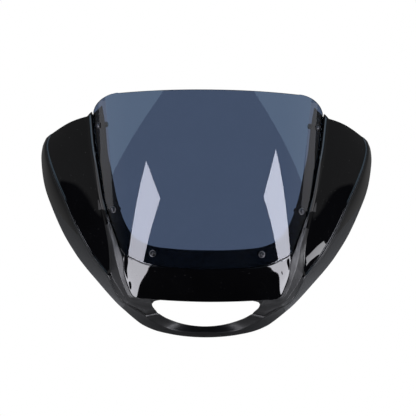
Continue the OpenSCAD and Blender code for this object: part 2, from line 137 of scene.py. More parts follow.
screen = {
    "thick": 3.0, "radius": 350.0, "height": 313.5, "foot": -95.0, "stripSlope": 0.42,
    "faceD": 195.0, "lean": 0.064, "creaseX": 164.5, "creaseLean": 0.093, "creaseSoft": 3.0,
    "cornerS": 6.2, "cornerX": 150.0, "cornerU": 172.5, "cornerRx": 51.0, "topArch": 7.0,
    "gap": 1.2, "seatGap": 1.7, "holeD": 6.5, "holeBelow": 7.0, "holeLength": 11.0,
    "edgeInset": 1.35, "edgeRoom": 0.6, "edgeBulge": 0.54, "topDrop": 0.8, "rows": 96, "colsHalf": 56}


def face(x, u):
    # Height of the windscreen's outer face
    r, k = screen["radius"], screen["creaseSoft"]
    sag = r - math.sqrt(r * r - x * x)
    v = abs(x) - screen["creaseX"] - screen["creaseLean"] * u
    strip = 0.0 if v < -k else v if v > k else (v + k) ** 2 / (4 * k)
    return (screen["faceD"] + (u - screen["foot"]) * screen["lean"] - sag
            - screen["stripSlope"] * ease((u + 40) / 170) * strip)


origin = turn([0, lean["bossU"], face(lean["bossX"], lean["bossU"]) - lean["bossSet"]])


def faceNormal(x, u, e=0.5):
    return unit([face(x - e, u) - face(x + e, u), face(x, u - e) - face(x, u + e), 2 * e])


def seat(x, u):
    # Height of the shell's face under the windscreen
    return face(x, u) - (screen["thick"] + screen["seatGap"]) / faceNormal(x, u)[2]


shell = {
    "wall": 3.0, "recess": 6.0, "beadRise": 3.0, "rimReturn": 9.0, "tunnelDepth": 15.0,
    "openingW": 188.0, "openingDrop": 39.0, "openingU": -157.0, "openingRise": 10.0, "sideRound": 1.85,
    "topRound": 2.5, "wallRun": 1.2, "wallRise": 3.4, "foreLift": 2.8, "foreBulge": 3.5, "valleyDip": 1.2,
    "topBow": 4.5, "panelHump": 2.5, "bandRise": 3.0, "bandBow": 1.5, "finer": 4, "openingRadius": 2.4,
    "edgeInset": 1.2, "edgeRoom": 0.6, "softFrom": 4.3, "allSoftFrom": 7.5,
    "wellHole": 10.2, "holeStart": 0.5, "holePast": 5.0, "insertHole": 9.1, "insertDepth": 14.0,
    "boreOver": 1.0, "bossD": 17.0, "bossFillet": 4.0, "bossReach": 80.0}
stationMarks = ([0, 0.15, 0.3, 0.5] + [0.8 + 0.4 * k for k in range(12)]
                + [5.6, 5.75, 5.87, 6, 6.15, 6.4, 6.7, 7, 7.25, 7.5, 7.75]
                + [8 + 0.25 * k for k in range(9)])
# Rows of a section that the code names, counted from the screen opening's edge
rowFoot, rowFore, rowCrest, rowPin, rowPout, rowDout, rowBand, rowRim = 2, 6, 9, 11, 15, 16, 17, 19


def edgeOut(s):
    # Direction straight out from the windscreen's edge, in X and U
    t = unit(guide("edge", s + 0.1) - guide("edge", max(s - 0.1, 0)))
    return np.array([-t[1], t[0]])


def put(p, d):
    return np.array([p[0], p[1], d])


def belowScreen(s):
    return ease((s - 5.5) / 0.5)


def section(s):
    # The shell's outer face at one station, from the screen opening's edge to the returned rim
    low = belowScreen(s)
    a, e, n = guide("opening", s), guide("edge", s), edgeOut(s)
    foot = e + n * screen["gap"]
    bank = e + n * (screen["gap"] + 1)
    tuck = put(bank, seat(*bank))
    fore = mix(tuck, tuck if s < 5.6 else guide("forehead", s), low)
    step = foot + n * mix(0.25, 0.6, low)
    stepD = mix(seat(*step), face(*e) + 0.2, low)
    crest = guide("crest", min(s, 8))
    lane = unit(crest - fore)
    over = mix(face(*e) + shell["beadRise"] - 1, fore[2] + shell["wallRise"] * ease((7.6 - s) / 1.6), low)
    wall = mix(put(fore + lane * shell["wallRun"], over), mix(fore, crest, 0.45), ease((s - 7.75) / 0.25))
    dip = shell["valleyDip"] * ease(s - 3.2) * ease(5.6 - s)
    valley = mix(wall, crest, 0.5) - np.array([0, 0, dip])
    fore = fore + np.array([0, 0, shell["foreLift"] * ease((7.6 - s) / 1.6) * low])
    din, dout = guide("panelIn", min(s, 8)), guide("panelOut", min(s, 8))
    sunk = shell["recess"] * ease((6 - s) / 0.13)
    across = unit([dout[0] - din[0], dout[1] - din[1], 0])
    run = mix(mix(0.6, 1.6, ease((6 - s) / 0.13)), 4, ease((s - 7.5) / 0.25))
    pin = mix(din, dout, 0.02) + across * run - np.array([0, 0, sunk * mix(0.35, 1, ease(s / 4))])
    pout = mix(dout, din, 0.02) - across * run - np.array([0, 0, sunk * mix(0.15, 0.5, ease(s / 4))])
    rim = guide("rim", s)
    band = mix(dout, rim, 0.34) + np.array([0, 0, shell["bandRise"]])
    if s > 6.7:
        band = mix(band, guide("band", max(s, 7)), ease((s - 6.7) / 0.3))
    rows = []
    for t in (0, 0.5, 1):
        p = mix(a, foot, t)
        rows.append(put(p, seat(*p)))
    first = put(step, stepD)
    rows.append(first)
    for t in (1 / 3, 2 / 3):
        p = mix(first, fore, t)
        bulge = shell["foreBulge"] * math.sin(math.pi * t) * ease(s - 6)
        rows.append(put(p, mix(seat(p[0], p[1]), p[2] + bulge, low)))
    rows += [fore, wall, valley, crest, din, pin]
    for t in (0.25, 0.5, 0.75):
        hump = math.sin(math.pi * t)
        bow = shell["topBow"] * hump * ease((2.4 - s) / 2.4)
        rows.append(mix(pin, pout, t) + np.array([0, bow, shell["panelHump"] * hump * ease(6 - s)]))
    rows += [pout, dout, band, mix(band, rim, 0.5) + np.array([0, 0, shell["bandBow"]]), rim]
    rows.append(rim - shell["rimReturn"] * unit([rim[0] * 0.35, rim[1] * 0.35, 140]))
    # Beside the headlight opening the panel's edge runs out into one smooth wall
    for i in (rowCrest + 1, rowPin):
        smooth = mix(rows[rowCrest], rows[rowPin + 1], (i - rowCrest) / 3)
        rows[i] = mix(rows[i], smooth, 0.85 * ease((s - 7.2) / 0.5))
    return np.array(rows)


# Outer face of the shell, rows by columns, with the right half mirrored to the left
fineStations = [mix(a, b, k / shell["finer"]) for a, b in zip(stationMarks[:-1], stationMarks[1:])
                for k in range(shell["finer"])] + [10.0]
sideCol = fineStations.index(8)
half = np.array([section(s) for s in fineStations])
outer = np.concatenate([half, half[-2::-1] * np.array([-1.0, 1.0, 1.0])]).transpose(1, 0, 2)
rowCount, colCount = outer.shape[:2]
stationOf = fineStations + fineStations[-2::-1]
lastSide = colCount - 1 - sideCol
rowSpan = [(0, 2), (0, 2), (0, 2), (3, 6), (3, 6), (3, 6), (4, 6), (6, 11), (6, 11), (6, 11), (6, 11),
           (11, 12), (11, 13), (12, 14), (13, 15), (14, 15), (15, 17), (17, 18), (17, 19), (18, 20), (19, 20)]


def inUse(i, j):
    return j <= sideCol or j >= lastSide or i <= rowFore or i >= rowBand


def slopeAcross(i, j, span):
    after, before = min(j + 1, colCount - 1), max(j - 1, 0)
    after = after if inUse(i, after) else j
    before = before if inUse(i, before) else j
    return unit(np.cross(outer[i, after] - outer[i, before], outer[span[1], j] - outer[span[0], j]))


def lowAt(j):
    return belowScreen(stationOf[j])


def skinNormal(i, j):
    if rowFoot < i <= rowFore and lowAt(j) < 1:
        flat = slopeAcross(rowFoot, j, rowSpan[rowFoot])
        return unit(mix(flat, slopeAcross(i, j, rowSpan[i]), lowAt(j)))
    return slopeAcross(i, j, rowSpan[i])


def rear(i, j):
    # The point one wall thickness behind a grid point
    p = outer[i, j] - skinNormal(rowFore if i == rowFore + 1 else i, j) * shell["wall"]
    if rowFoot <= i < rowFore:
        e = edgeOut(stationOf[j])
        away = np.array([e[0] if j < colCount / 2 else -e[0], e[1], 0])
        p = p + away * shell["wall"] * lowAt(j) * (0.8, 0.8, 0.53, 0.27)[i - rowFoot]
    return p


def loopCells(top, bottom):
    # Grid points round the headlight opening
    cells = [(top, j) for j in range(sideCol, lastSide + 1)]
    cells += [(i, lastSide) for i in range(top + 1, bottom + 1)]
    cells += [(bottom, j) for j in range(lastSide - 1, sideCol - 1, -1)]
    return cells + [(i, sideCol) for i in range(bottom - 1, top, -1)]


def flangeEnd(cells, top, points):
    # The flange ends in an oval that is flattened along its top, under the forehead
    half, low = shell["openingW"] / 2, shell["openingU"]
    ends = []
    for (i, _), p in zip(cells, points):
        if i == top:
            t, n = p[0] / outer[rowFore, sideCol][0], shell["topRound"]
            e = [t * half, low + shell["openingRise"] * (1 - min(abs(t), 1) ** n) ** (1 / n)]
        else:
            a, n = min(math.atan2(p[1] - low, abs(p[0])), 0), shell["sideRound"]
            r = ((math.cos(a) / half) ** n + (-math.sin(a) / shell["openingDrop"]) ** n) ** (-1 / n)
            e = [math.copysign(r * math.cos(a), p[0]), low + r * math.sin(a)]
        ends.append([e[0], e[1], p[2] - shell["tunnelDepth"] * leanSin])
    return np.array(ends)


def loopAway(points, ends, reach=1):
    # Normals of the flange that runs from points to ends
    return unit(np.cross(unit(np.roll(points, reach, 0) - np.roll(points, -reach, 0)), unit(ends - points)))


def innerFace():
    # The back of the wall, smoothed behind the steps and drawn in round the headlight opening
    cells = loopCells(rowFore, rowBand)
    lip = np.array([outer[c] for c in cells])
    away = dict(zip(cells, loopAway(lip, flangeEnd(cells, rowFore, lip))))
    grid = np.array(outer)
    wall = shell["wall"]
    for j in range(colCount):
        s = stationOf[j]
        plain = [rear(i, j) if inUse(i, j) else outer[i, j] for i in range(rowCount)]
        for i in range(rowCount):
            p = plain[i]
            if (i, j) in away:
                n, m = skinNormal(i, j), away[(i, j)]
                p = outer[i, j] + (m - n) * wall / max(1 - n @ m, 0.4)
            elif not inUse(i, j):
                continue
            elif rowFoot < i < rowFore:
                under = mix(plain[rowFoot], plain[rowFore], (i - rowFoot) / (rowFore - rowFoot))
                p = mix(under, p, ease((s - 6) / 0.5))
            elif rowFore < i < rowPin:
                start = plain[rowFore] + unit(outer[rowFore, j] - outer[rowFore - 1, j]) * wall
                t = (i - rowFore - 1) / (rowPin - rowFore - 1)
                p = mix(p, mix(start, plain[rowPin], t), ease((7.5 - s) / 0.4))
            elif i == rowDout:
                p = mix(plain[rowDout - 1], plain[rowDout + 1], 0.45)
            grid[i, j] = p
    return grid


# Steps from each row to the next, and the radius at each row that is a corner
rowSteps = [4, 4, 1, 5, 5, 5, 1, 1, 1, 2, 2, 6, 6, 6, 6, 2, 4, 4, 4, 3]
cornerRadius = {2: 0.6, 3: 1.4, 6: 1.2, 7: 0.7, 8: 1.6, 9: 1.4, 10: 1.6, 11: 2.2, 15: 2.4, 16: 2.6, 19: 3.0}
cornerSteps = 4


def splinePoint(p0, p1, p2, p3, t):
    return 0.5 * (2 * p1 + (p2 - p0) * t + (2 * p0 - 5 * p1 + 4 * p2 - p3) * t**2
                  + (3 * p1 - p0 - 3 * p2 + p3) * t**3)


inHole = (np.arange(colCount) > sideCol) & (np.arange(colCount) < lastSide)
# The corner beside the bead fades out where it meets the headlight opening
foreFade = np.array([1 - 0.9 * ease((s - 7.5) / 0.5) for s in stationOf])


def refineRows(grid):
    # Splines run between corners, and each corner becomes a short rounded curve
    out, marks = [], {}
    for i, steps in enumerate(rowSteps):
        p1, p2 = grid[i], grid[i + 1]
        p0 = 2 * p1 - p2 if i == 0 or i in cornerRadius else grid[i - 1]
        p3 = 2 * p2 - p1 if i + 1 == len(rowSteps) or i + 1 in cornerRadius else grid[i + 2]
        if i == rowBand:  # below the opening nothing comes before this row
            p0 = np.where(inHole[:, None], 2 * p1 - p2, p0)
        length = np.linalg.norm(p2 - p1, axis=-1)
        trim = []
        for k in (i, i + 1):
            radius = cornerRadius.get(k, 0) * (foreFade if k == rowFore else 1)
            trim.append(np.minimum(radius / np.maximum(length, 1e-6), 0.45)[:, None])
        if i in cornerRadius:  # round the corner between the last point and the next one
            a, b = out[-1], splinePoint(p0, p1, p2, p3, trim[0])
            marks[i] = len(out) - 1 + cornerSteps // 2
            for k in range(1, cornerSteps + 1):
                t = k / cornerSteps
                corner = (1 - t) ** 2 * a + 2 * t * (1 - t) * p1 + t * t * b
                if i == rowFore:  # the edge of the opening itself stays sharp here
                    corner = np.where(inHole[:, None], mix(a, p1, min(2 * t, 1)), corner)
                out.append(corner)
        else:
            marks[i] = len(out)
            out.append(p1)
        ends = steps if i + 1 in cornerRadius or i + 1 == len(rowSteps) else steps - 1
        for k in range(1, ends + 1):
            t = trim[0] + (1 - trim[0] - trim[1]) * k / steps
            out.append(splinePoint(p0, p1, p2, p3, t))
    marks[len(rowSteps)] = len(out) - 1
    return np.array(out), marks


def roundEdge(a, b, outward, steps=5, bulge=0.8):
    # Points of a half-round free edge from a to b
    centre, arm = (a + b) / 2, (a - b) / 2
    size = np.linalg.norm(arm, axis=-1, keepdims=True)
    return [centre + arm * math.cos(math.pi * k / (steps + 1))
            + outward * size * bulge * math.sin(math.pi * k / (steps + 1)) for k in range(1, steps + 1)]


class MeshParts:
    # Gathers points and quads, with a material number for each quad
    def __init__(self):
        self.points, self.faces, self.finish = [], [], []

    def add(self, pts):
        start = len(self.points)
        self.points += [tuple(p) for p in np.asarray(pts, float).reshape(-1, 3)]
        return start

    def ring(self, pts):
        start = self.add(pts)
        return list(range(start, len(self.points)))

    def quad(self, a, b, c, d, finish=0):
        loop = [k for n, k in enumerate((a, b, c, d)) if k != (a, b, c, d)[n - 1]]
        if len(set(loop)) > 2:
            self.faces.append(loop)
            self.finish.append(finish)

    def strip(self, ringA, ringB, finish=0, closed=True):
        n = len(ringA)
        for k in range(n if closed else n - 1):
            q = (k + 1) % n
            self.quad(ringA[k], ringA[q], ringB[q], ringB[k], finish)

    def loft(self, before, rings, finish=lambda k: 0):
        # Closed strips from each ring to the next; gives the last ring back
        for k, ring in enumerate(rings):
            now = self.ring(ring)
            self.strip(before, now, finish(k))
            before = now
        return before


def borderCells(last, side):
    # The cells round a grid's outside, and the neighbour inward of each
    border = ([(i, 0) for i in range(last)] + [(last, j) for j in range(side)]
              + [(i, side) for i in range(last, 0, -1)] + [(0, j) for j in range(side, 0, -1)])
    return border, [(min(max(i, 1), last - 1), min(max(j, 1), side - 1)) for i, j in border]


def makeObject(name, points, faces, materials, finish=None, sharp=40):
    mesh = bpy.data.meshes.new(name)
    mesh.from_pydata([tuple(p) for p in points], [], faces)
    for m in materials:
        mesh.materials.append(m)
    if finish is not None:
        mesh.polygons.foreach_set("material_index", finish)
    mesh.polygons.foreach_set("use_smooth", [True] * len(mesh.polygons))
    mesh.validate()
    mesh.set_sharp_from_angle(angle=math.radians(sharp))
    obj = bpy.data.objects.new(name, mesh)
    bpy.context.scene.collection.objects.link(obj)
    return obj


def applyModifiers(obj):
    graph = bpy.context.evaluated_depsgraph_get()
    done = bpy.data.meshes.new_from_object(obj.evaluated_get(graph), depsgraph=graph)
    old = obj.data
    obj.modifiers.clear()
    obj.data = done
    bpy.data.meshes.remove(old)


def combine(obj, tools, how):
    for tool in tools:
        m = obj.modifiers.new(how.title(), "BOOLEAN")
        m.operation, m.object, m.solver = how, tool, "MANIFOLD"
    applyModifiers(obj)
    for tool in tools:
        bpy.data.objects.remove(tool)


def tube(name, base, axis, radius, length, materials, steps=64):
    # A plain round cutter from base along axis, in row metres
    rot = Vector(axis).to_track_quat("Z", "Y").to_matrix().to_4x4()
    place = Matrix.Translation(Vector(base)) @ rot
    ring = [(radius * math.cos(2 * math.pi * k / steps), radius * math.sin(2 * math.pi * k / steps))
            for k in range(steps)]
    pts = [place @ Vector((x, y, z)) for z in (0, length) for x, y in ring]
    faces = [(k, (k + 1) % steps, steps + (k + 1) % steps, steps + k) for k in range(steps)]
    faces += [tuple(range(steps - 1, -1, -1)), tuple(range(steps, 2 * steps))]
    return makeObject(name, pts, faces, materials)


# Places of the six screws on the face, right side, and of the four bracket bosses
spots = {"upper": (192.0, 154.0), "mid": (165.0, 7.0), "lower": (95.0, -69.0)}
bosses = {"upper": (148.0, 0.0, 0.0), "lower": (148.0, -26.0, -54.0)}
sides = {"right": 1, "left": -1}


def spotFrame(name, side):
    # Origin on the outer face of the windscreen and the direction out of it, in row metres
    x, u = spots[name][0] * side, spots[name][1]
    return toRow([x, u, face(x, u)]), turn(faceNormal(x, u))


screwPlaces = [(name, sideName) + spotFrame(name, side) for name in spots for sideName, side in sides.items()]
bossPlaces = [(level, sideName, (x * side / 1000, y / 1000, z / 1000))
              for level, (x, y, z) in bosses.items() for sideName, side in sides.items()]


# Materials. Colours are linear; the shared effects below give only masks and normals.
def nodeTree(mat):
    mat.use_nodes = True
    mat.node_tree.nodes.clear()
    return mat.node_tree


def addNode(tree, kind, inputs=None, **settings):
    node = tree.nodes.new(kind)
    for key, value in settings.items():
        setattr(node, key, value)
    for key, value in (inputs or {}).items():
        if isinstance(value, bpy.types.NodeSocket):
            tree.links.new(value, node.inputs[key])
        else:
            node.inputs[key].default_value = value
    return node


def addMath(tree, how, a, b=0.0, clamp=False):
    node = addNode(tree, "ShaderNodeMath", {0: a, 1: b}, operation=how, use_clamp=clamp)
    return node.outputs[0]


def addRange(tree, value, low, high, toLow=0.0, toHigh=1.0):
    node = addNode(tree, "ShaderNodeMapRange", {"Value": value, "From Min": low, "From Max": high,
                                                "To Min": toLow, "To Max": toHigh})
    return node.outputs["Result"]


def newGroup(name, inputs, outputs):
    group = bpy.data.node_groups.new(name, "ShaderNodeTree")
    for label, kind, value in inputs:
        socket = group.interface.new_socket(name=label, in_out="INPUT", socket_type=kind)
        socket.default_value = value
    for label, kind in outputs:
        group.interface.new_socket(name=label, in_out="OUTPUT", socket_type=kind)
    return group, group.nodes.new("NodeGroupInput"), group.nodes.new("NodeGroupOutput")


floatKind, vectorKind = "NodeSocketFloat", "NodeSocketVector"


def makeMouldedSurface():
    # Faint waviness of a moulded or painted skin: a value for tone and a normal
    group, given, result = newGroup(
        "mouldedSurface",
        [("Wave Size", floatKind, 0.006), ("Grain Size", floatKind, 0.0006), ("Wave", floatKind, 0.02),
         ("Grain", floatKind, 0.0)],
        [("Tone", floatKind), ("Normal", vectorKind)])
    place = addNode(group, "ShaderNodeTexCoord").outputs["Object"]
    waves = addNode(group, "ShaderNodeTexNoise", {
        "Vector": place, "Scale": addMath(group, "DIVIDE", 1.0, given.outputs["Wave Size"]), "Detail": 2.0})
    grain = addNode(group, "ShaderNodeTexNoise", {
        "Vector": place, "Scale": addMath(group, "DIVIDE", 1.0, given.outputs["Grain Size"]), "Detail": 3.0})
    cloud = addNode(group, "ShaderNodeTexNoise", {"Vector": place, "Scale": 14.0, "Detail": 3.0})
    first = addNode(group, "ShaderNodeBump", {
        "Height": waves.outputs["Fac"], "Strength": given.outputs["Wave"], "Distance": 0.001})
    second = addNode(group, "ShaderNodeBump", {
        "Height": grain.outputs["Fac"], "Strength": given.outputs["Grain"], "Distance": 0.0003,
        "Normal": first.outputs["Normal"]})
    group.links.new(cloud.outputs["Fac"], result.inputs["Tone"])
    group.links.new(second.outputs["Normal"], result.inputs["Normal"])
    return group


def makeFineWear():
    # Masks for hairline scratches in patches, and for dust on what faces up
    group, given, result = newGroup(
        "fineWear",
        [("Scratch Size", floatKind, 0.01), ("Dust Size", floatKind, 0.0012)],
        [("Scratches", floatKind), ("Dust", floatKind)])
    place = addNode(group, "ShaderNodeTexCoord").outputs["Object"]
    masks = []
    for turned, squeeze in ((0.5, 26.0), (-0.7, 31.0)):
        mapped = addNode(group, "ShaderNodeMapping", {
            "Vector": place, "Rotation": (0.2, 0.35, turned), "Scale": (1.0, squeeze, 1.0)})
        noise = addNode(group, "ShaderNodeTexNoise", {
            "Vector": mapped.outputs["Vector"], "Detail": 1.0,
            "Scale": addMath(group, "DIVIDE", 1.0, given.outputs["Scratch Size"])})
        away = addMath(group, "ABSOLUTE", addMath(group, "SUBTRACT", noise.outputs["Fac"], 0.5))
        masks.append(addRange(group, away, 0.0, 0.006, 1.0, 0.0))
    patches = addNode(group, "ShaderNodeTexNoise", {"Vector": place, "Scale": 22.0, "Detail": 2.0})
    where = addRange(group, patches.outputs["Fac"], 0.52, 0.68)
    lines = addMath(group, "MULTIPLY", addMath(group, "MAXIMUM", masks[0], masks[1]), where)
    specks = addNode(group, "ShaderNodeTexVoronoi", {
        "Vector": place, "Scale": addMath(group, "DIVIDE", 1.0, given.outputs["Dust Size"])})
    spot = addRange(group, specks.outputs["Distance"], 0.10, 0.20, 1.0, 0.0)
    chosen = addNode(group, "ShaderNodeSeparateColor", {"Color": specks.outputs["Color"]})
    few = addRange(group, chosen.outputs[0], 0.90, 0.92)
    normal = addNode(group, "ShaderNodeNewGeometry").outputs["Normal"]
    facing = addNode(group, "ShaderNodeSeparateXYZ", {"Vector": normal})
    upward = addRange(group, facing.outputs["Z"], 0.1, 0.9)
    dust = addMath(group, "MULTIPLY", addMath(group, "MULTIPLY", spot, few), upward)
    group.links.new(lines, result.inputs["Scratches"])
    group.links.new(dust, result.inputs["Dust"])
    return group


mouldedSurface = makeMouldedSurface()
fineWear = makeFineWear()


def useGroup(tree, group, **values):
    node = tree.nodes.new("ShaderNodeGroup")
    node.node_tree = group
    for key, value in values.items():
        node.inputs[key].default_value = value
    return node


def colourMix(tree, amount, low, high):
    node = tree.nodes.new("ShaderNodeMix")
    node.data_type = "RGBA"
    for socket, value in ((node.inputs[0], amount), (node.inputs[6], low), (node.inputs[7], high)):
        if isinstance(value, bpy.types.NodeSocket):
            tree.links.new(value, socket)
        else:
            socket.default_value = value
    return node.outputs[2]


def rgb(colour, scale=1.0):
    return (colour[0] * scale, colour[1] * scale, colour[2] * scale, 1.0)


dustColour = (0.35, 0.34, 0.32)


def makeSurface(name, look):
    # One opaque surface from a dictionary of values
    mat = bpy.data.materials.new(name)
    tree = nodeTree(mat)
    skin = useGroup(tree, mouldedSurface, **{"Wave Size": look["waveSize"], "Grain Size": look["grainSize"],
                                             "Wave": look["wave"], "Grain": look["grain"]})
    wear = useGroup(tree, fineWear, **{"Scratch Size": look["scratchSize"], "Dust Size": look["dustSize"]})
    tone = addRange(tree, skin.outputs["Tone"], 0.35, 0.65)
    base = colourMix(tree, tone, rgb(look["colour"], 1 - look["vary"]), rgb(look["colour"], 1 + look["vary"]))
    scratched = addMath(tree, "MULTIPLY", wear.outputs["Scratches"], look["scratches"])
    base = colourMix(tree, scratched, base, rgb(look["worn"]))
    dusty = addMath(tree, "MULTIPLY", wear.outputs["Dust"], look["dust"])
    base = colourMix(tree, dusty, base, rgb(dustColour))
    rough = addRange(tree, skin.outputs["Tone"], 0.3, 0.7, look["rough"] * 0.85, look["rough"] * 1.15)
    rough = addMath(tree, "ADD", rough, addMath(tree, "MULTIPLY", scratched, 0.25))
    shader = addNode(tree, "ShaderNodeBsdfPrincipled", {
        "Base Color": base, "Roughness": rough, "Metallic": look["metal"], "IOR": look["ior"],
        "Coat Weight": look["coat"], "Coat Roughness": look["coatRough"],
        "Normal": skin.outputs["Normal"]})
    addNode(tree, "ShaderNodeOutputMaterial", {"Surface": shader.outputs["BSDF"]})
    return mat


plainLook = {"vary": 0.25, "metal": 0.0, "ior": 1.5, "coat": 0.0, "coatRough": 0.1, "scratches": 0.5,
             "dust": 0.0, "dustSize": 0.002}
looks = {
    "shellGloss": {"colour": (0.001, 0.001, 0.0012), "vary": 0.12, "rough": 0.035, "ior": 1.49,
                   "waveSize": 0.009, "wave": 0.010, "grainSize": 0.0008, "grain": 0.0, "scratches": 0.12,
                   "scratchSize": 0.016, "worn": (0.03, 0.03, 0.032), "dust": 0.10, "dustSize": 0.0035},
    "shellSatin": {"colour": (0.022, 0.022, 0.0228), "vary": 0.2, "rough": 0.42,
                   "waveSize": 0.014, "wave": 0.06, "grainSize": 0.0007, "grain": 0.30, "scratches": 0.3,
                   "scratchSize": 0.02, "worn": (0.045, 0.045, 0.047), "dust": 0.25, "dustSize": 0.003},
    "shellSoft": {"colour": (0.0015, 0.0015, 0.0017), "vary": 0.15, "rough": 0.44, "ior": 1.49,
                  "waveSize": 0.010, "wave": 0.02, "grainSize": 0.0008, "grain": 0.05, "scratches": 0.15,
                  "scratchSize": 0.018, "worn": (0.03, 0.03, 0.032), "dust": 0.12, "dustSize": 0.0035},
    "blackOxide": {"colour": (0.022, 0.022, 0.025), "rough": 0.30, "metal": 0.85, "coat": 0.25,
                   "coatRough": 0.25, "waveSize": 0.002, "wave": 0.05, "grainSize": 0.00025, "grain": 0.15,
                   "scratchSize": 0.004, "worn": (0.16, 0.16, 0.17)},
    "blackZinc": {"colour": (0.035, 0.035, 0.038), "rough": 0.36, "metal": 0.8, "coat": 0.15,
                  "coatRough": 0.3, "waveSize": 0.002, "wave": 0.05, "grainSize": 0.0003, "grain": 0.12,
                  "scratchSize": 0.004, "worn": (0.22, 0.22, 0.23)},
    "wellRubber": {"colour": (0.012, 0.012, 0.0125), "rough": 0.62,
                   "waveSize": 0.003, "wave": 0.12, "grainSize": 0.0004, "grain": 0.5, "scratches": 0.2,
                   "scratchSize": 0.006, "worn": (0.05, 0.05, 0.05), "dust": 0.3},
    "turnedBrass": {"colour": (0.62, 0.42, 0.16), "vary": 0.12, "rough": 0.24, "metal": 1.0,
                    "waveSize": 0.0015, "wave": 0.08, "grainSize": 0.0002, "grain": 0.12,
                    "scratchSize": 0.003, "worn": (0.35, 0.25, 0.12)},
}
surfaces = {name: makeSurface(name, {**plainLook, **look}) for name, look in looks.items()}

glass = {"tint": (0.0575, 0.082, 0.140), "vary": 0.015, "ior": 1.49, "rough": 0.0, "waveSize": 0.06,
         "wave": 0.004, "scratches": 0.03, "scratchSize": 0.02, "worn": (0.3, 0.31, 0.33), "wornRough": 0.6,
         "dust": 0.12, "dustSize": 0.0035}


def makeScreenMaterial():
    mat = bpy.data.materials.new("smokeScreen")
    tree = nodeTree(mat)
    skin = useGroup(tree, mouldedSurface, **{"Wave Size": glass["waveSize"], "Grain Size": 0.001,
                                             "Wave": glass["wave"], "Grain": 0.0})
    wear = useGroup(tree, fineWear, **{"Scratch Size": glass["scratchSize"], "Dust Size": glass["dustSize"]})
    scratched = addMath(tree, "MULTIPLY", wear.outputs["Scratches"], glass["scratches"])
    base = colourMix(tree, addRange(tree, skin.outputs["Tone"], 0.3, 0.7),
                     rgb(glass["tint"], 1 - glass["vary"]), rgb(glass["tint"], 1 + glass["vary"]))
    clear = addNode(tree, "ShaderNodeBsdfPrincipled", {
        "Base Color": base, "Roughness": glass["rough"], "IOR": glass["ior"],
        "Transmission Weight": 1.0, "Normal": skin.outputs["Normal"]})
    dull = addNode(tree, "ShaderNodeBsdfPrincipled", {
        "Base Color": rgb(glass["worn"]), "Roughness": glass["wornRough"]})
    dusty = addMath(tree, "MULTIPLY", wear.outputs["Dust"], glass["dust"])
    hazy = addMath(tree, "ADD", scratched, dusty, clamp=True)
    both = addNode(tree, "ShaderNodeMixShader", {0: hazy, 1: clear.outputs["BSDF"], 2: dull.outputs["BSDF"]})
    addNode(tree, "ShaderNodeOutputMaterial", {"Surface": both.outputs["Shader"]})
    return mat


smokeScreen = makeScreenMaterial()
print("materials made:", len(surfaces) + 1)

shellFinishes = [surfaces["shellGloss"], surfaces["shellSatin"], surfaces["shellSoft"]]
glossFinish, satinFinish, softFinish = range(3)


def pullIn(grid, cell, inward, reach):
    # A grid point drawn in from the outside edge, to leave room for the round edge
    p, q = grid[cell], grid[inward]
    return mix(p, q, min(reach / max(np.linalg.norm(q - p), 1e-6), shell["edgeRoom"]))


